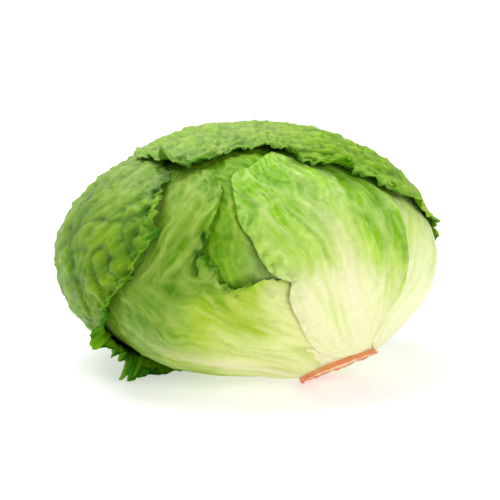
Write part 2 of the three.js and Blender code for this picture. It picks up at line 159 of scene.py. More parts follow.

# Leaves from the innermost out. Angles are in degrees, lengths in mm, colours from 0 to 255.
# middle: the angle of the leaf's middle from the stem, and its turn round the stem.
# outline: the direction about the middle, where 0 is toward the stem, the reach and the lift.
# spokes: columns of the mesh.
# grain, stretch: how wide and how long the streaks and puckers are along the veins.
# fine, crumple, pleat: share of small puckers, height of all puckers, height of broad folds.
# swirl: how much the veins turn aside, how soon that wears off, the angle from the stem where
# it starts, and how much that angle changes round the stem.
# gather: how much closer together the veins lie at the stem.
# curl, curl_width: how far the margin rolls over, and the width that rolls.
# ruffle, lobes: height of the short waves of the margin, and size of its lobes.
# base, blade, crown: colours from the stem to the far end, beside those of rib and margin.
# pale_to, green_from, lean: angles from the stem where the green starts and is full, and how
# much they change round the stem.
# veined, contrast, painted sheen: how strongly veins show in the colour, how strongly puckers are
# painted lighter on their rises and darker in their hollows as painted shade, and how strong the
# painted sheen is, a greyish painted highlight.
LEAVES = [
    {
        "name": "leaf_inner",
        "middle": (75, 38),
        "spokes": 576, "grain": 1, "fine": 0.6, "pleat": 0, "swirl": (0.5, 60, 60, 0.7), "gather": 0,
        "veined": 0.35, "painted_sheen": 0, "curl": 60, "curl_width": 5, "ruffle": 0.8, "contrast": 0.22,
        "stretch": 1.2, "lobes": 1.0, "crumple": 0.8, "roughness": 0.42, "base": (232, 233, 180),
        "blade": (134, 178, 14), "crown": (96, 152, 0), "rib": (184, 206, 80),
        "margin": (96, 150, 20), "pale_to": 24, "green_from": 62, "lean": 0,
        "outline": [
            (-149, 55, 1), (-84, 42, 1), (-37, 51, 1), (-12, 58, 0), (0, 60, 0), (12, 58, 0),
            (37, 51, 1), (91, 45, 1), (147, 61, 1), (180, 56, 1),
        ],
    },
    {
        "name": "leaf_back",
        "middle": (95, -152),
        "spokes": 576, "grain": 1, "fine": 0.7, "pleat": 0.8, "swirl": (0.5, 60, 70, 0), "gather": 0,
        "veined": 0.4, "painted_sheen": 0, "curl": 80, "curl_width": 6, "ruffle": 2, "contrast": 0.34,
        "stretch": 1, "lobes": 1.2, "crumple": 1.1, "roughness": 0.42, "base": (232, 233, 180),
        "blade": (170, 200, 66), "crown": (110, 156, 6), "rib": (205, 220, 110),
        "margin": (84, 138, 10), "pale_to": 30, "green_from": 84, "lean": 0,
        "outline": [
            (-166, 64, 2), (-146, 66, 2), (-123, 55, 2), (-85, 47, 2), (-47, 55, 1), (-16, 70, 0),
            (0, 81, 0), (17, 70, 0), (47, 54, 1), (84, 40, 2), (127, 48, 2), (151, 63, 2),
            (173, 64, 2),
        ],
    },
    {
        "name": "leaf_right",
        "middle": (70, -62),
        "spokes": 576, "grain": 1, "fine": 0.5, "pleat": 0, "swirl": (0, 60, 70, 0), "gather": 0,
        "veined": 0.6, "painted_sheen": 0, "curl": 60, "curl_width": 5, "ruffle": 0.8, "contrast": 0.2,
        "stretch": 1.5, "lobes": 1.0, "crumple": 0.5, "roughness": 0.42, "base": (234, 234, 190),
        "blade": (200, 222, 118), "crown": (150, 192, 40), "rib": (236, 238, 196),
        "margin": (120, 172, 26), "pale_to": 26, "green_from": 90, "lean": 0,
        "outline": [
            (-154, 50, 2), (-119, 55, 1), (-93, 53, 0), (-67, 50, 0), (-44, 51, 0), (-28, 56, 0),
            (-15, 58, 0), (-7, 58, 0), (0, 56, 0), (10, 58, 0), (29, 54, 0), (61, 50, 1),
            (99, 54, 2), (133, 53, 2), (171, 49, 2),
        ],
    },
    {
        "name": "leaf_left",
        "middle": (70, 90),
        "spokes": 832, "grain": 1.2, "fine": 0.5, "pleat": 0, "swirl": (1.74, 40, 75, 0.7),
        "gather": 0, "veined": 0.45, "painted_sheen": 0, "curl": 110, "curl_width": 8, "ruffle": 3.2,
        "contrast": 0.2, "stretch": 2, "lobes": 1.6, "crumple": 0.6, "roughness": 0.42,
        "base": (230, 232, 166), "blade": (160, 188, 36), "crown": (92, 144, 0),
        "rib": (204, 216, 116), "margin": (84, 156, 8), "pale_to": 26, "green_from": 84, "lean": 0,
        "outline": [
            (-180, 55, 1), (-147, 47, 1), (-116, 43, 1), (-82, 43, 0), (-46, 45, 0), (-19, 51, 0),
            (-1, 56, 0), (11, 58, 0), (22, 58, 0), (35, 57, 0), (47, 56, 1), (55, 54, 2),
            (60, 49, 2), (64, 43, 3), (68, 38, 3), (73, 36, 3), (79, 37, 4), (85, 39, 4),
            (91, 43, 4), (97, 54, 3), (103, 63, 2), (113, 67, 2), (133, 68, 1), (155, 69, 0),
        ],
    },
    {
        "name": "leaf_far_left",
        "middle": (112, 150),
        "spokes": 832, "grain": 2.2, "fine": 1, "pleat": 1.1, "swirl": (2.5, 90, 75, 0.7),
        "gather": 0, "veined": 0.2, "painted_sheen": 0.24, "curl": 110, "curl_width": 8, "ruffle": 2.4,
        "contrast": 0.36, "stretch": 1, "lobes": 1.4, "crumple": 1.2, "roughness": 0.4,
        "base": (200, 214, 100), "blade": (124, 160, 0), "crown": (98, 142, 0),
        "rib": (150, 182, 40), "margin": (84, 158, 6), "pale_to": 24, "green_from": 70, "lean": 0,
        "outline": [
            (-180, 66, 1), (-160, 64, 1), (-138, 56, 2), (-112, 46, 2), (-66, 46, 1), (-30, 59, 0),
            (-15, 86, 0), (-2, 98, 0), (1, 87, 0), (5, 70, 1), (13, 57, 1), (25, 51, 4),
            (38, 50, 11), (49, 53, 11), (58, 57, 8), (65, 61, 5), (71, 66, 3), (75, 70, 3),
            (79, 77, 4), (83, 85, 4), (88, 91, 4), (94, 95, 4), (103, 97, 3), (113, 97, 3),
            (124, 93, 2), (136, 88, 1), (148, 80, 1), (161, 73, 1),
        ],
    },
    {
        "name": "leaf_front",
        "middle": (56, 3),
        "spokes": 832, "grain": 1, "fine": 0.6, "pleat": 0, "swirl": (0, 60, 70, 0), "gather": 0.95,
        "veined": 0.4, "painted_sheen": 0, "curl": 40, "curl_width": 4, "ruffle": 0.5, "contrast": 0.22,
        "stretch": 1.6, "lobes": 0.4, "crumple": 0.7, "roughness": 0.42, "base": (232, 230, 182),
        "blade": (180, 213, 78), "crown": (124, 182, 0), "rib": (230, 236, 172),
        "margin": (112, 172, 10), "pale_to": 28, "green_from": 80, "lean": -0.38,
        "outline": [
            (-177, 42, 0), (-163, 40, 0), (-148, 42, 1), (-139, 38, 2), (-127, 35, 2), (-116, 32, 3),
            (-108, 29, 3), (-92, 27, 3), (-79, 25, 2), (-66, 22, 2), (-58, 25, 2), (-39, 31, 1),
            (-18, 41, 0.5), (-3, 42, 0), (6, 42, 0), (11, 39, 0), (24, 34, 0), (34, 32, 0.5),
            (53, 29, 1), (74, 27, 1.5), (94, 30, 1.5), (109, 40, 1), (127, 49, 0), (156, 48, 0),
        ],
    },
    {
        "name": "leaf_cap",
        "middle": (116, -110),
        "spokes": 832, "grain": 1.7, "fine": 1, "pleat": 1.1, "swirl": (-1.4, 1000, 0, 0),
        "gather": 0, "veined": 0.25, "painted_sheen": 0.24, "curl": 100, "curl_width": 8, "ruffle": 2.4,
        "contrast": 0.36, "stretch": 1, "lobes": 1.8, "crumple": 1.2, "roughness": 0.4,
        "base": (222, 228, 165), "blade": (146, 184, 26), "crown": (110, 158, 4),
        "rib": (176, 200, 86), "margin": (92, 160, 8), "pale_to": 40, "green_from": 86, "lean": 0,
        "outline": [
            (-175, 97, 1), (-165, 111, 1), (-154, 120, 3), (-142, 125, 4), (-133, 123, 4),
            (-119, 110, 2), (-108, 103, 2), (-100, 103, 3), (-93, 104, 3), (-86, 103, 3),
            (-77, 96, 3), (-71, 94, 3), (-65, 92, 3), (-59, 87, 3), (-53, 83, 2), (-45, 75, 2),
            (-32, 65, 1), (-9, 71, 1), (-2, 86, 1), (1, 102, 0), (10, 88, 1), (26, 67, 2),
            (55, 48, 3), (91, 42, 3), (128, 50, 3), (156, 64, 2), (168, 73, 1), (175, 78, 1),
        ],
    },
]


def smooth(low, high, x):
    t = np.clip((x - low) / (high - low), 0, 1)
    return t * t * (3 - 2 * t)


def squared_to(vector, axis):
    return unit(vector - axis * (vector @ axis))


STEM_AXIS = unit(STEM_OUT)
ROUND_ZERO = squared_to(np.array([0, -0.3, 1.0]), STEM_AXIS)
ROUND_QUARTER = np.cross(STEM_AXIS, ROUND_ZERO)


def combine(axis, first, second, away, turn):
    """Directions that lie an angle away from an axis, at a turn about it."""
    away, turn = np.broadcast_arrays(away, turn)
    return (np.cos(away)[..., None] * axis + (np.sin(away) * np.cos(turn))[..., None] * first
            + (np.sin(away) * np.sin(turn))[..., None] * second)


def stem_direction(away, turn):
    return combine(STEM_AXIS, ROUND_ZERO, ROUND_QUARTER, away, turn)


def stem_angle(direction):
    return np.arccos(np.clip(direction @ STEM_AXIS, -1, 1))


def stem_turn(direction):
    return np.arctan2(direction @ ROUND_QUARTER, direction @ ROUND_ZERO)


for leaf in LEAVES:
    middle_away, middle_turn = np.array(leaf["middle"]) * DEG
    leaf["axis"] = stem_direction(middle_away, middle_turn)
    leaf["to_stem"] = squared_to(STEM_AXIS, leaf["axis"])
    leaf["across"] = np.cross(leaf["axis"], leaf["to_stem"])


def leaf_direction(leaf, away, turn):
    return combine(leaf["axis"], leaf["to_stem"], leaf["across"], away, turn)


def leaf_angles(leaf, direction):
    away = np.arccos(np.clip(direction @ leaf["axis"], -1, 1))
    return away, np.arctan2(direction @ leaf["across"], direction @ leaf["to_stem"])


def outline_at(leaf, turn):
    """Reach and lift of a leaf's margin at each turn, on a smooth closed curve."""
    points = np.array(leaf["outline"], float)
    around = np.vstack([points[-2:] - [360, 0, 0], points, points[:3] + [360, 0, 0]])
    angle = (np.asarray(turn) / DEG - points[0, 0]) % 360 + points[0, 0]
    start = np.searchsorted(points[:, 0], angle, side="right") + 1
    before, left, right, after = (around[start + k] for k in (-1, 0, 1, 2))
    span = right[..., :1] - left[..., :1]
    t = (angle[..., None] - left[..., :1]) / span
    slope_left = (right - before) / (right[..., :1] - before[..., :1]) * span
    slope_right = (after - left) / (after[..., :1] - left[..., :1]) * span
    value = ((2 * t**3 - 3 * t**2 + 1) * left + (t**3 - 2 * t**2 + t) * slope_left
             + (3 * t**2 - 2 * t**3) * right + (t**3 - t**2) * slope_right)
    return value[..., 1] * DEG, np.maximum(0, value[..., 2])


def beyond_margin(leaf, direction):
    """Distance past a leaf's margin in mm over the body; below zero inside the leaf."""
    away, turn = leaf_angles(leaf, direction)
    step = 2 * DEG
    reach = outline_at(leaf, turn)[0]
    slope = (outline_at(leaf, turn + step)[0] - outline_at(leaf, turn - step)[0]) / (2 * step)
    slant = np.hypot(1, slope / np.maximum(0.3, np.sin(np.minimum(reach, 90 * DEG))))
    return MEAN_RADIUS * (away - reach) / slant


def cover(leaf, direction):
    return 1 - smooth(0, COVER_FADE, beyond_margin(leaf, direction))


def plain_radius(direction):
    across = np.where(direction[..., 0] < 0, HALF_LEFT, HALF_RIGHT)
    upright = np.where(direction[..., 2] < 0, HALF_DOWN, HALF_UP)
    total = (np.abs(direction[..., 0] / across) ** ROUNDNESS
             + np.abs(direction[..., 1] / HALF_DEPTH) ** ROUNDNESS
             + np.abs(direction[..., 2] / upright) ** ROUNDNESS)
    return total ** (-1 / ROUNDNESS)


def cut_radius(direction):
    return STEM_OUT @ CUT_FACING / (direction @ CUT_FACING)


def neck_rise(direction):
    """Rise that ends the body just under the rim of the cut."""
    collar = stem_direction(LEAF_BASE_ANGLE, stem_turn(direction))
    return cut_radius(collar) - RIM_SHOWN - plain_radius(collar)


def body_radius(direction):
    neck = np.exp(-((np.maximum(0, stem_angle(direction) - LEAF_BASE_ANGLE) / NECK_SPREAD) ** 2))
    radius = plain_radius(direction) + neck * neck_rise(direction)
    for swell in SWELLS:
        angle = np.arccos(np.clip(direction @ unit(swell["toward"]), -1, 1))
        radius = radius + (1 - neck) * swell["rise"] * np.exp(-((angle / swell["spread"]) ** 2))
    return radius


def surface_radius(direction, depth, lift):
    """The body at a depth under its surface, lifted, and pressed flat where it rests."""
    free = body_radius(direction) - depth + lift
    down = np.maximum(-direction[..., 2], 0.05)
    floor = (CENTRE[2] - depth) / down
    low = floor + REST_SINK / down
    mix = np.maximum(REST_BLEND - np.abs(free - low), 0) / REST_BLEND
    pressed = np.minimum(np.minimum(free, low) - mix * mix * REST_BLEND / 4, floor)
    return np.where(direction[..., 2] > -0.05, free, pressed)


def leaf_thickness(leaf, direction):
    away, turn = leaf_angles(leaf, direction)
    inside = smooth(0, 16, -beyond_margin(leaf, direction))
    aside = MEAN_RADIUS * away * np.sin(turn) / RIB_HALF_WIDTH
    rib = RIB_THICK * smooth(-30 * DEG, 40 * DEG, away * np.cos(turn)) * np.exp(-(aside ** 2))
    return MARGIN_THICK + (BLADE_THICK - MARGIN_THICK + rib) * inside


def depth_under(index, direction):
    """Depth of a leaf under the body's surface: leaves are pressed together toward the stem."""
    depth = np.zeros(direction.shape[:-1])
    for leaf in LEAVES[index + 1:]:
        depth += (leaf_thickness(leaf, direction) + LEAF_GAP) * cover(leaf, direction)
    return depth * (0.12 + 0.88 * smooth(16 * DEG, 55 * DEG, stem_angle(direction)))


def bare_share(index, direction):
    """1 where a leaf is seen, 0 where leaves over it cover it."""
    share = np.ones(direction.shape[:-1])
    for leaf in LEAVES[index + 1:]:
        share *= smooth(-4, 2, beyond_margin(leaf, direction))
    return share


def openness(index, direction):
    open_share = np.ones(direction.shape[:-1])
    for leaf in LEAVES[index + 1:]:
        open_share *= smooth(OPEN_FROM, OPEN_FROM + COVER_FADE, beyond_margin(leaf, direction))
    return open_share


def scramble(cells, seed):
    """Three repeatable numbers from -1 to 1 for each whole-number cell."""
    x, y, z = (cells[..., k].astype(np.uint64) for k in range(3))
    mixed = x * np.uint64(73856093) ^ y * np.uint64(19349663) ^ z * np.uint64(83492791)
    mixed ^= np.uint64(seed * 2654435761 % 2**32)
    parts = []
    for _ in range(3):
        mixed = (mixed ^ (mixed >> np.uint64(15))) * np.uint64(2246822519) & np.uint64(0xFFFFFFFF)
        mixed = (mixed ^ (mixed >> np.uint64(13))) * np.uint64(3266489917) & np.uint64(0xFFFFFFFF)
        parts.append(mixed.astype(float) / 2**31 - 1)
    return np.stack(parts, axis=-1)


def noise(points, seed):
    """Smooth noise from about -1 to 1 with features one unit across."""
    cells = np.floor(points)
    part = points - cells
    fade = part**3 * (part * (part * 6 - 15) + 10)
    total = 0.0
    for corner in itertools.product((0, 1), repeat=3):
        corner = np.array(corner)
        slopes = scramble((cells + corner + 4096).astype(np.int64), seed)
        weight = np.prod(np.where(corner == 1, fade, 1 - fade), axis=-1)
        total = total + weight * np.sum(slopes * (part - corner), axis=-1)
    return np.clip(total * 1.5, -1, 1)


def crest(points, seed):
    """Thin branching lines where the noise crosses zero: 1 on a line, falling to 0."""
    return np.clip(1 - 5 * np.abs(noise(points, seed)), 0, 1)


def even_spokes(leaf, count):
    """Turns about the leaf's middle whose margin points are evenly spaced."""
    turn = np.linspace(-np.pi, np.pi, 4001)
    reach = reach_along(leaf, turn)
    margin = leaf_direction(leaf, reach, turn)
    steps = np.linalg.norm(np.diff(margin, axis=0), axis=1)
    length = np.concatenate([[0], np.cumsum(steps)])
    return np.interp(np.arange(count) / count * length[-1], length, turn)


def reach_along(leaf, turn):
    """A leaf's reach at each turn, cut back where it meets the stem."""
    reach = outline_at(leaf, turn)[0]
    for _ in range(600):
        inside = stem_angle(leaf_direction(leaf, reach, turn)) < LEAF_BASE_ANGLE
        if not inside.any():
            break
        reach = np.where(inside, reach - 0.1 * DEG, reach)
    return reach


def leaf_rows():
    """Rows from the middle out: share of the inner path, and share across the margin band."""
    inner = np.linspace(0, 1, INNER_ROWS + 1)[1:]
    band = np.linspace(0, 1, BAND_ROWS + 1)[1:]
    inner_share = np.concatenate([inner, np.ones(BAND_ROWS)])
    band_share = np.concatenate([np.zeros(INNER_ROWS), band])
    return inner_share[:, None], band_share[:, None]


def frills(place, seed):
    """Two sizes of ruffle along a margin, in turn above and below it."""
    return noise(place / LARGE_FRILL, seed + 31), noise(place / SMALL_FRILL, seed + 32)


def margin_life(place, seed, lift, open_share):
    """How lively a margin is: 0 where it lies flat or covered, 1 where it frills."""
    lively = 0.25 + 0.75 * smooth(-0.3, 0.5, noise(place / 13, seed + 2))
    lively *= np.clip(lift / LIVELY_LIFT, 0, 1.4) * open_share
    return lively


def roll_over(leaf, seed, place, path, from_margin, lively):
    """Path over the body and height over it, in mm, of a blade whose margin rolls outward."""
    roll = 0.3 + 1.5 * noise(place / 13, seed + 4) + 0.5 * noise(place / 5, seed + 26)
    roll = leaf["curl"] * DEG * lively * np.clip(roll, 0, 1.2)
    bend = roll * np.clip(1 - from_margin / leaf["curl_width"], 0, 1) ** 0.8
    step = np.diff(path, axis=0, prepend=0)
    return np.cumsum(np.cos(bend) * step, axis=0), np.cumsum(np.sin(bend) * step, axis=0)


def margin_hollows(leaf, seed, spot, from_margin, lively):
    """Hollows just inside a frilled margin, from 0 to 1."""
    hollow = smooth(0.06, 0.26, noise(spot / 6, seed + 33)) * (1 - smooth(5, 17, from_margin))
    hollow *= np.clip(lively * leaf["ruffle"] / 1.6, 0, 1)
    return hollow


def outward_waves(leaf, seed, place, spot, from_margin, lift, lively):
    """Waves of the margin in mm outward, short ruffles on long ones, and the painted shade of their
    pockets and hollows, with painted light on their crests where it is below zero.
    """
    wide = 1 - smooth(0, FRILL_WIDTH, from_margin)
    narrow = 1 - smooth(0, RUFFLE_WIDTH, from_margin)
    large, small = frills(place, seed)
    long_wave = 0.5 + 0.7 * noise(place / 14, seed)
    short_wave = 1.9 * large + 0.9 * small
    height = lift * (LIFT_KEPT + LIFT_LOCAL * smooth(4, 6, lift) + LIFT_LOCAL * lively)
    waves = height * wide * wide * (0.4 + long_wave)
    waves += leaf["ruffle"] * lively * narrow * (0.25 + short_wave)
    # Painted shade in the inward folds of the ruffles; below zero it is painted light on their outward
    # crests.
    pocket = np.clip(lively, 0, 1) * narrow * np.clip(-1.7 * short_wave, -1, 1)
    hollow = margin_hollows(leaf, seed, spot, from_margin, lively)
    return waves - HOLLOW_DEPTH * hollow, np.maximum(pocket, hollow)


def ragged_reach(leaf, turn, reach, seed):
    """A leaf's reach with the round lobes of its margin and the notches between them."""
    margin = leaf_direction(leaf, reach, turn)
    place = MEAN_RADIUS * margin
    away_from_stem = smooth(6 * DEG, 40 * DEG, stem_angle(margin) - LEAF_BASE_ANGLE)
    free = np.clip(outline_at(leaf, turn)[1] / LIVELY_LIFT, 0.3, 1)
    large, small = frills(place, seed)
    lobes = 1.9 * noise(place / 17, seed) + 1.2 * noise(place / 8, seed + 1)
    lobes += free * (2.6 * np.abs(large) + 1.3 * np.abs(small) - 0.9)
    return reach + leaf["lobes"] * lobes * away_from_stem / MEAN_RADIUS


def leaf_paths(leaf, turn, reach, seed):
    """Path in mm from the leaf's middle to each point, and from there on to the margin."""
    length = MEAN_RADIUS * ragged_reach(leaf, turn, reach, seed)
    band = np.minimum(BAND, 0.45 * length)
    inner_share, band_share = leaf_rows()
    path = (length - band) * inner_share + band * band_share
    return path, length - path


def leaf_sheet(leaf, index):
    """Grid of points of a leaf's outer face, rows from the middle to the margin, and its fields."""
    seed = 31 * index + 5
    turn = even_spokes(leaf, leaf["spokes"])[None, :]
    reach = reach_along(leaf, turn)
    path, from_margin = leaf_paths(leaf, turn, reach, seed)
    flat = leaf_direction(leaf, path / MEAN_RADIUS, turn)
    spot = MEAN_RADIUS * flat
    margin_place = MEAN_RADIUS * leaf_direction(leaf, reach, turn) + 0 * flat
    frill_place = margin_place + FRILL_TWIST * (spot - margin_place)
    open_share = openness(index, flat)
    open_share *= smooth(8 * DEG, 24 * DEG, stem_angle(flat) - LEAF_BASE_ANGLE)
    lift = outline_at(leaf, turn)[1] + 0 * path
    lively = margin_life(margin_place, seed, lift, open_share)
    advance, rise = roll_over(leaf, seed, margin_place, path, from_margin, lively)
    waves, pocket = outward_waves(leaf, seed, frill_place, spot, from_margin, lift, lively)
    fields = leaf_fields(leaf, index, seed, flat, from_margin)
    fields["lively"] = lively
    fields["pocket"] = pocket
    direction = leaf_direction(leaf, advance / MEAN_RADIUS, turn)
    height = waves * open_share + rise + fields["relief"]
    radius = surface_radius(direction, depth_under(index, flat), height)
    points = CENTRE + direction * radius[..., None]
    points[..., 2] = np.maximum(points[..., 2], LOWEST_LEAF)
    return points, fields


def vein_lines(leaf, turn, away):
    """A value in degrees that stays the same along each vein as it runs out from the stem."""
    strength, fade, start, slope = leaf["swirl"]
    past = np.maximum(0, away / DEG - start - slope * ((turn + leaf["middle"][1] * DEG) / DEG - 60))
    gathered = 1 + leaf["gather"] * (0.05 - np.exp(-np.maximum(0, away / DEG - 13) / 20))
    return turn / DEG / gathered + strength * past / (1 + past / fade)


def along_veins(lines, turn, away, across, along, seed):
    """Noise place whose features are narrow across the veins and long along them, in mm."""
    width = 1.36 * np.sin(np.clip(away, 0.35, 1.6))
    return np.stack([lines * width / across + 0 * away, away * MEAN_RADIUS / along + seed * 0.37,
                     turn * MEAN_RADIUS * 0.8 / along], axis=-1)


def pleats(value):
    """Overlapping folds: slow rises that drop off sharply, and where the foot of each drop is, which
    is painted as a line of shade.
    """
    share = value % 1
    foot = np.maximum(smooth(0.92, 1, share), 1 - smooth(0, 0.09, share))
    return share * (1 - smooth(0.9, 1, share)), foot


def vein_frame(leaf, seed, direction):
    """Angle from the stem, turn about it from the leaf's middle, and the veins' own value."""
    spot = MEAN_RADIUS * direction
    away = stem_angle(direction)
    turn = (stem_turn(direction) - leaf["middle"][1] * DEG + np.pi) % (2 * np.pi) - np.pi
    lines = vein_lines(leaf, turn, away) + 5 * noise(spot / 26, seed + 6)
    lines += 1.5 * noise(spot / 9, seed + 19)
    return away, turn, lines


def rib_fields(seed, away, lines, streaky):
    """Ribs, veins and the midrib, which fan out from the stem."""
    fan = np.stack([lines / 10, away * 0.8, 0 * away + seed], axis=-1)
    veins = np.maximum(crest(fan, seed + 14), 0.8 * crest(*streaky(5, 40, 15)))
    return {
        "ribs": 0.6 * noise(fan, seed + 7) + 0.5 * noise(*streaky(3.2, 30, 8)),
        "veins": np.maximum(veins, 0.6 * crest(*streaky(2.4, 60, 27))),
        "midrib": np.exp(-((lines / 7) ** 2)) * (1 - smooth(30, 85, away / DEG)),
    }


def blade_fields(leaf, seed, spot, streaky):
    """Net of small veins, creases, streaks, puckers and broad folds of the blade."""
    streaks = noise(*streaky(3.4, 15 * leaf["stretch"], 11))
    streaks *= 0.6 + 0.7 * noise(spot / 18, seed + 22)
    crumple = noise(*streaky(6, 10 * leaf["stretch"], 12))
    crumple += leaf["fine"] * noise(spot / 4.2, seed + 13)
    crumple += 0.6 * leaf["fine"] * noise(spot / 2.2, seed + 18)
    return {
        "net": np.maximum(crest(*streaky(8, 18, 9)), 0.7 * crest(*streaky(3.6, 7, 10))),
        "crease": crest(*streaky(11, 24, 16)),
        "streaks": streaks,
        "crumple": crumple,
        "folds": noise(spot / 24, seed + 17),
    }


def leaf_relief(leaf, fields, fold):
    """Height of ribs, puckers and folds in mm, with the deepest hollows held back."""
    green = fields["green"]
    relief = leaf["crumple"] * green * (
        0.8 * fields["crumple"] + 0.3 * fields["streaks"] + 0.4 * fields["net"]
        - 0.4 * fields["crease"] + 0.7 * fields["folds"])
    relief += ((1 - green) * (0.6 * fields["ribs"] + 0.45 * fields["veins"])
               + 0.4 * fields["veins"] * green + 0.9 * fields["midrib"])
    relief += leaf["pleat"] * green * (fold - 0.4)
    return np.where(relief < 0, DEEPEST * np.tanh(relief / DEEPEST), relief)


def leaf_fields(leaf, index, seed, direction, from_margin):
    """Greenness, veins, puckers, painted sheen on the upper left side, painted shade at the foot of
    each fold, and relief over a leaf.
    """
    spot = MEAN_RADIUS * direction
    away, turn, lines = vein_frame(leaf, seed, direction)

    def streaky(across, along, offset):
        return along_veins(lines, turn, away, across * leaf["grain"], along, seed), seed + offset

    fields = rib_fields(seed, away, lines, streaky) | blade_fields(leaf, seed, spot, streaky)
    greening = away / DEG + leaf["lean"] * turn / DEG + 10 * noise(spot / 26, seed + 5)
    fields["green"] = smooth(leaf["pale_to"], leaf["green_from"], greening)
    fields["edge"] = 1 - smooth(0, 9, from_margin)
    fold, foot = pleats(2.2 * noise(spot / 36, seed + 24) + 0.25 * noise(spot / 9, seed + 25))
    # Painted shade: a dark line at the foot of each fold's drop.
    fields["foot"] = foot * smooth(0, 1, leaf["pleat"]) * fields["green"]
    # Painted sheen: a greyish highlight painted on the side that faces the upper left, broken up by
    # the streaks and the vein net.
    painted_sheen = leaf["painted_sheen"] * smooth(0.2, 0.9, direction @ unit(PAINTED_SHEEN_SIDE))
    painted_sheen *= 0.55 + 0.6 * fields["streaks"] + 0.3 * fields["net"]
    fields["painted_sheen"] = np.clip(painted_sheen, 0, 1)
    bare = bare_share(index, direction)
    relief = leaf_relief(leaf, fields, fold)
    relief *= smooth(0, 12 * DEG, away - LEAF_BASE_ANGLE) * (0.15 + 0.85 * bare)
    fields["relief"] = relief - COVERED_SINK * (1 - bare) * smooth(20 * DEG, 45 * DEG, away)
    return fields


def linear(colour):
    """Display colour from 0 to 255 as a linear one."""
    share = np.asarray(colour, float) / 255
    return np.where(share > 0.04045, ((share + 0.055) / 1.055) ** 2.4, share / 12.92)


def mix(first, second, share):
    return first + (second - first) * share[..., None]


def leaf_tint(leaf, fields):
    """Colour at each point: pale base and ribs, green blade and margin, with painted shade in creases,
    hollows and ruffle pockets and painted light on rises, crests and the upper left.
    """
    base, blade, crown = (linear(leaf[part]) for part in ("base", "blade", "crown"))
    green, streaks, ribs = (fields[part] for part in ("green", "streaks", "ribs"))
    mottled = np.clip(green + 1.2 * green * (1 - green) * (streaks + 0.6 * ribs), 0, 1)
    tint = mix(base, blade, smooth(0.08, 0.45, mottled))
    tint = mix(tint, crown, smooth(0.35, 0.85, mottled))
    between_ribs = 0.15 * smooth(0, 0.2, green) + 0.6 * smooth(-0.05, 0.6, -ribs)
    tint = mix(tint, blade, between_ribs * (1 - green))
    pale = 0.25 * fields["net"] * green + leaf["veined"] * fields["veins"] * (1 - 0.5 * green)
    tint = mix(tint, linear(leaf["rib"]), np.clip(pale, 0, 1))
    tint = mix(tint, linear(MIDRIB), 0.8 * fields["midrib"])
    # Painted light and shade: puckers and broad folds are lighter where they rise and darker in their
    # hollows, creases and at the foot of each fold; the streaks are the leaf's own tone.
    shade_and_streaks = 1 + green * (leaf["contrast"] * fields["crumple"] + 0.12 * streaks - 0.2 * fields["crease"])
    shade_and_streaks *= (1 + 0.14 * fields["folds"] * green) * (1 - 0.5 * fields["foot"])
    tint = tint * shade_and_streaks[..., None] ** DARK_TURNS_GREEN
    # Painted sheen: a greyish highlight over the upper left side.
    tint = mix(tint, linear(PAINTED_SHEEN), fields["painted_sheen"])
    tint = mix(tint, linear(leaf["margin"]), 0.4 * fields["edge"] * np.clip(fields["lively"], 0, 1))
    # Painted shade turns the pockets and hollows of the ruffles dark green, and a painted highlight in
    # the rib colour lights their crests.
    tint = mix(tint, linear(PAINTED_POCKET_SHADE), 0.85 * np.clip(fields["pocket"], 0, 1))
    return np.clip(mix(tint, linear(leaf["rib"]), 0.5 * np.clip(-fields["pocket"], 0, 1)), 0, 1)


def sheet_normals(points):
    """Outward normals of a grid whose columns close round."""
    along = np.gradient(points, axis=0)
    around = np.roll(points, -1, axis=1) - np.roll(points, 1, axis=1)
    normal = np.cross(along, around)
    normal /= np.maximum(np.linalg.norm(normal, axis=-1, keepdims=True), 1e-9)
    outward = np.sum(normal * (points - CENTRE), axis=-1).mean()
    return normal * np.sign(outward)


def row_faces(first, second):
    """Quads between two closed rows of the same length, or triangles to one twice as long."""
    if len(first) == len(second):
        return [np.stack([first, second, np.roll(second, -1), np.roll(first, -1)], axis=1)]
    even, odd = second[0::2], second[1::2]
    next_first, next_even = np.roll(first, -1), np.roll(even, -1)
    triangles = ((first, even, odd, odd), (first, odd, next_first, next_first),
                 (next_first, odd, next_even, next_even))
    return [np.stack(corners, axis=1) for corners in triangles]


def spoke_step(row_share):
    """How many spokes a row skips: fewer points near the leaf's middle."""
    for limit, step in ((0.05, 32), (0.1, 16), (0.2, 8), (0.4, 4), (0.8, 2)):
        if row_share < limit:
            return step
    return 1


def grid_faces(rows):
    return np.vstack([face for pair in zip(rows, rows[1:]) for face in row_faces(*pair)])


def under_side(points):
    """A leaf's other face near its margin, which thins toward the rim."""
    rim_share = np.linspace(1, 0, UNDER_ROWS)[:, None, None]
    thickness = EDGE_THICK + (SHEET_THICK - EDGE_THICK) * rim_share
    under = points[-UNDER_ROWS:] - sheet_normals(points)[-UNDER_ROWS:] * thickness
    under[..., 2] = np.maximum(under[..., 2], LOWEST_UNDER_SIDE)
    return under


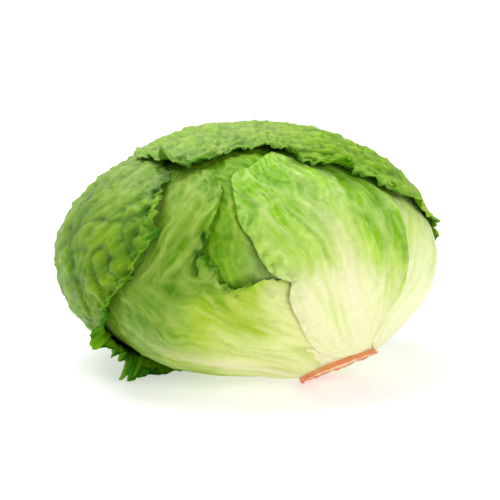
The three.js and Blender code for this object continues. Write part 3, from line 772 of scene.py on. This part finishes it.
def leaf_mesh(leaf, index):
    """Vertices, faces and colours of a leaf: its outer face, and the under side near the margin."""
    points, fields = leaf_sheet(leaf, index)
    tint = leaf_tint(leaf, fields)
    count, spokes = points.shape[:2]
    numbers = np.arange((count + UNDER_ROWS) * spokes).reshape(-1, spokes)
    outer, under = numbers[:count], numbers[count:]
    rows = [row[::spoke_step((r + 1) / INNER_ROWS)] for r, row in enumerate(outer)]
    middle = np.full(len(rows[0]), numbers.size)
    following = np.roll(rows[0], -1)
    faces = np.vstack([
        np.stack([middle, rows[0], following, following], axis=1),
        grid_faces(rows),
        *row_faces(outer[-1], under[-1]),
        grid_faces(under[::-1]),
    ])
    vertices = [points.reshape(-1, 3), under_side(points).reshape(-1, 3), points[0].mean(axis=0)]
    colours = [tint.reshape(-1, 3), tint[-UNDER_ROWS:].reshape(-1, 3) * 1.05, tint[0].mean(axis=0)]
    return np.vstack(vertices), faces, np.clip(np.vstack(colours), 0, 1)


def add_piece(name, vertices, faces, colours, material, nodes):
    """A mesh object in the row frame that rides on the root and stands for its CAD nodes."""
    used, compact = np.unique(faces, return_inverse=True)
    compact = compact.reshape(faces.shape)
    corners = [tuple(face[:3]) if face[2] == face[3] else tuple(face) for face in compact.tolist()]
    mesh = bpy.data.meshes.new(name)
    mesh.from_pydata(((vertices[used] + CENTRE_SHIFT) * METRES).tolist(), [], corners)
    mesh.validate()
    tint = mesh.color_attributes.new("tint", "FLOAT_COLOR", "POINT")
    rgba = np.hstack([colours[used], np.ones((len(used), 1))])
    tint.data.foreach_set("color", rgba.astype(np.float32).ravel())
    mesh.shade_smooth()
    mesh.materials.append(material)
    piece = bpy.data.objects.new(name, mesh)
    bpy.context.scene.collection.objects.link(piece)
    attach(piece, "root")
    for node in nodes:
        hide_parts(node)


class Shader:
    """Small helper that adds nodes to a material and links them."""

    def __init__(self, name):
        self.material = bpy.data.materials.new(name)
        self.material.use_nodes = True
        self.nodes = self.material.node_tree.nodes
        self.links = self.material.node_tree.links
        self.surface = self.nodes["Principled BSDF"]
        self.place = self.nodes.new("ShaderNodeTexCoord").outputs["Object"]

    def link(self, source, target):
        self.links.new(source, target)

    def noise(self, scale, detail, roughness=0.5):
        node = self.nodes.new("ShaderNodeTexNoise")
        node.inputs["Scale"].default_value = scale
        node.inputs["Detail"].default_value = detail
        node.inputs["Roughness"].default_value = roughness
        self.link(self.place, node.inputs["Vector"])
        return node.outputs["Fac"]

    def cells(self, scale):
        node = self.nodes.new("ShaderNodeTexVoronoi")
        node.feature = "DISTANCE_TO_EDGE"
        node.inputs["Scale"].default_value = scale
        self.link(self.place, node.inputs["Vector"])
        return node.outputs["Distance"]

    def remap(self, value, low, high, out_low, out_high):
        node = self.nodes.new("ShaderNodeMapRange")
        for socket, number in zip(("From Min", "From Max", "To Min", "To Max"),
                                  (low, high, out_low, out_high)):
            node.inputs[socket].default_value = number
        self.link(value, node.inputs["Value"])
        return node.outputs["Result"]

    def tint(self, name):
        node = self.nodes.new("ShaderNodeAttribute")
        node.attribute_name = name
        return node.outputs["Color"]

    def scaled(self, colour, factor):
        node = self.nodes.new("ShaderNodeVectorMath")
        node.operation = "SCALE"
        self.link(colour, node.inputs[0])
        self.link(factor, node.inputs["Scale"])
        return node.outputs["Vector"]

    def bump(self, height, strength, distance, below=None):
        node = self.nodes.new("ShaderNodeBump")
        node.inputs["Strength"].default_value = strength
        node.inputs["Distance"].default_value = distance
        self.link(height, node.inputs["Height"])
        if below is not None:
            self.link(below, node.inputs["Normal"])
        return node.outputs["Normal"]

    def dress(self, mottle, gloss, relief):
        """Links the mesh's own colours, mottled, the roughness and the relief to the surface."""
        self.link(self.scaled(self.tint("tint"), mottle), self.surface.inputs["Base Color"])
        self.link(gloss, self.surface.inputs["Roughness"])
        self.link(relief, self.surface.inputs["Normal"])

    def set(self, **values):
        for socket, value in values.items():
            self.surface.inputs[socket.replace("_", " ")].default_value = value


def leaf_material(name, roughness):
    """Waxy leaf: tinted by its own colours, with fine mottling, cell relief and soft light."""
    shader = Shader(name)
    mottle = shader.remap(shader.noise(420, 4, 0.6), 0.3, 0.7, 0.95, 1.05)
    gloss = shader.remap(shader.noise(160, 3), 0.3, 0.7, roughness - 0.08, roughness + 0.1)
    coarse = shader.bump(shader.cells(230), 0.18, 0.0006)
    shader.dress(mottle, gloss, shader.bump(shader.noise(900, 5, 0.6), 0.22, 0.0004, coarse))
    shader.set(Subsurface_Weight=0.12, Subsurface_Radius=(0.0015, 0.0025, 0.0005),
               Subsurface_Scale=1.0, Specular_IOR_Level=0.2, Specular_Tint=(0.8, 1.0, 0.45, 1))
    return shader.material


def stem_material():
    """Rough cut flesh, mottled and grainy."""
    shader = Shader("cut_stem")
    mottle = shader.remap(shader.noise(300, 6, 0.65), 0.3, 0.7, 0.8, 1.18)
    gloss = shader.remap(shader.noise(500, 4), 0.3, 0.7, 0.4, 0.65)
    shader.dress(mottle, gloss, shader.bump(shader.noise(700, 6, 0.7), 0.5, 0.0008))
    shader.set(Subsurface_Weight=0.15, Subsurface_Radius=(0.004, 0.002, 0.001), Subsurface_Scale=1.0)
    return shader.material


def heart_radius(direction):
    return surface_radius(direction, depth_under(-1, direction) + HEART_GAP, 0)


def closed_grid_faces(rows, columns):
    return grid_faces(np.arange(rows * columns).reshape(rows, columns))


def make_heart():
    """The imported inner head: seen only in the gaps between the leaf bases."""
    away = np.linspace(11 * DEG, np.pi - 0.01, HEART_ROWS)[:, None]
    turn = np.arange(HEART_COLUMNS) / HEART_COLUMNS * 2 * np.pi
    direction = stem_direction(away, turn)
    spot = MEAN_RADIUS * direction
    ribs = noise(spot / 9, 301)
    calm = smooth(12 * DEG, 40 * DEG, stem_angle(direction))
    radius = heart_radius(direction) + calm * (0.5 * ribs + 0.25 * noise(spot / 4, 302) - 0.4)
    points = CENTRE + direction * radius[..., None]
    green = smooth(30, 90, stem_angle(direction) / DEG + 10 * noise(spot / 20, 303))
    tint = mix(linear(HEART_PALE), linear(HEART_GREEN), green) * (1 + 0.12 * ribs)[..., None]
    faces = closed_grid_faces(HEART_ROWS, HEART_COLUMNS)
    tint = np.clip(tint.reshape(-1, 3), 0, 1)
    skin = leaf_material("heart_leaf", 0.45)
    add_piece("heart_core", points.reshape(-1, 3), faces, tint, skin, ["heart"])


def noise_round(turn, radius, height, seed):
    """Noise taken round a circle, so that it closes on itself."""
    circle = np.stack([radius * np.cos(turn), radius * np.sin(turn), 0 * turn + height], axis=-1)
    return noise(circle, seed)


def stem_side(rim, top):
    """Points and colours of the stem's pale side, from inside the head to its browned rim."""
    share = np.linspace(0, 1, STEM_SIDE_ROWS)[:, None]
    low = heart_radius(rim) - STEM_DEPTH
    radius = low + (top - low) * share
    browned = smooth(0.72, 1.0, share + 0.1 * noise(MEAN_RADIUS * rim / 5, 405))
    return CENTRE + rim * radius[..., None], mix(linear(STEM_SKIN), linear(STEM_RIM), browned)


def stem_face(edge, turn, ragged):
    """Points and colours of the rough, dished cut, from its browned edge to its middle."""
    share = np.linspace(0.985, 0.02, STEM_FACE_ROWS)[:, None]
    direction = stem_direction(edge * share, turn)
    place = MEAN_RADIUS * direction
    rough = 0.5 * noise(place / 3, 403) + 0.35 * noise(place / 1.4, 404)
    dish = -1.2 * (1 - share ** 2)
    radius = np.minimum(cut_radius(direction), 200) + dish + rough + ragged * share ** 6
    browned = smooth(0.55, 0.95, share + 0.12 * noise(place / 6, 406))
    tint = mix(linear(CUT_MIDDLE), linear(CUT_EDGE), browned)
    tint = tint * (1 + 0.3 * noise(place / 2.2, 407))[..., None]
    return CENTRE + direction * radius[..., None], tint


def make_stem():
    """The butt of the stem: a ragged oblique cut, browned at the rim, and a pale side."""
    turn = np.arange(STEM_COLUMNS) / STEM_COLUMNS * 2 * np.pi
    edge = STEM_HALF_ANGLE * (1 + 0.05 * noise_round(turn, 2, 5, 401))
    rim = stem_direction(edge, turn)
    ragged = 0.8 * noise_round(turn, 5, 0, 402)
    side, side_tint = stem_side(rim, cut_radius(rim) - 0.6 + ragged)
    face, face_tint = stem_face(edge, turn, ragged)
    points = np.vstack([side, face])
    points[..., 2] = np.maximum(points[..., 2], LOWEST_STEM)
    tint = np.clip(np.vstack([side_tint, face_tint]).reshape(-1, 3), 0, 1)
    faces = closed_grid_faces(len(points), STEM_COLUMNS)
    add_piece("cut_stem", points.reshape(-1, 3), faces, tint, stem_material(), ["stem"])


def make_leaves():
    for index, leaf in enumerate(LEAVES):
        vertices, faces, colours = leaf_mesh(leaf, index)
        material = leaf_material(leaf["name"] + "_skin", leaf["roughness"])
        add_piece(leaf["name"] + "_blade", vertices, faces, colours, material, [leaf["name"]])


def look_along(toward):
    """Turn that points an object's -Z along a direction, with its +Y up."""
    return Vector(toward).to_track_quat("-Z", "Y").to_euler()


def area_light(name, place, aim, size, power):
    """A round soft light at a place, turned to the point it is aimed at."""
    data = bpy.data.lights.new(name, "AREA")
    data.shape = "DISK"
    data.size = size
    data.energy = power
    light = bpy.data.objects.new(name, data)
    light.location = place
    light.rotation_euler = look_along(np.array(aim) - np.array(place))
    bpy.context.scene.collection.objects.link(light)


def make_camera():
    back = np.array([0, -np.cos(CAMERA_RISE), np.sin(CAMERA_RISE)])
    data = bpy.data.cameras.new("camera")
    data.sensor_width = SENSOR
    data.lens = CAMERA_AWAY / (MM_PER_PIXEL * METRES) / IMAGE_PIXELS * SENSOR
    data.shift_x = (IMAGE_PIXELS / 2 - AIM_PIXEL[0]) / IMAGE_PIXELS
    data.shift_y = (AIM_PIXEL[1] - IMAGE_PIXELS / 2) / IMAGE_PIXELS
    camera = bpy.data.objects.new("camera", data)
    camera.location = AIM + back * CAMERA_AWAY
    camera.rotation_euler = look_along(-back)
    bpy.context.scene.collection.objects.link(camera)
    bpy.context.scene.camera = camera


def make_floor():
    """Plain white floor, faintly lit from within so that it stays pale."""
    corners = [(x * FLOOR_HALF, y * FLOOR_HALF, 0) for x, y in ((-1, -1), (1, -1), (1, 1), (-1, 1))]
    mesh = bpy.data.meshes.new("floor")
    mesh.from_pydata(corners, [], [(0, 1, 2, 3)])
    shader = Shader("floor_white")
    shader.set(Base_Color=(0.64, 0.64, 0.64, 1), Roughness=0.9, Specular_IOR_Level=0.1,
               Emission_Color=(1, 1, 1, 1), Emission_Strength=0.5)
    mesh.materials.append(shader.material)
    floor = bpy.data.objects.new("floor", mesh)
    bpy.context.scene.collection.objects.link(floor)


def make_studio():
    """Soft white light all round, and two large soft boxes."""
    world = bpy.data.worlds.new("studio")
    world.use_nodes = True
    background = world.node_tree.nodes["Background"]
    background.inputs["Color"].default_value = (1, 1, 1, 1)
    background.inputs["Strength"].default_value = WORLD_STRENGTH
    bpy.context.scene.world = world
    for light in LIGHTS:
        area_light(**light)
    bpy.context.scene.view_settings.view_transform = "Standard"


make_camera()
make_floor()
make_studio()
make_stem()
make_heart()
make_leaves()
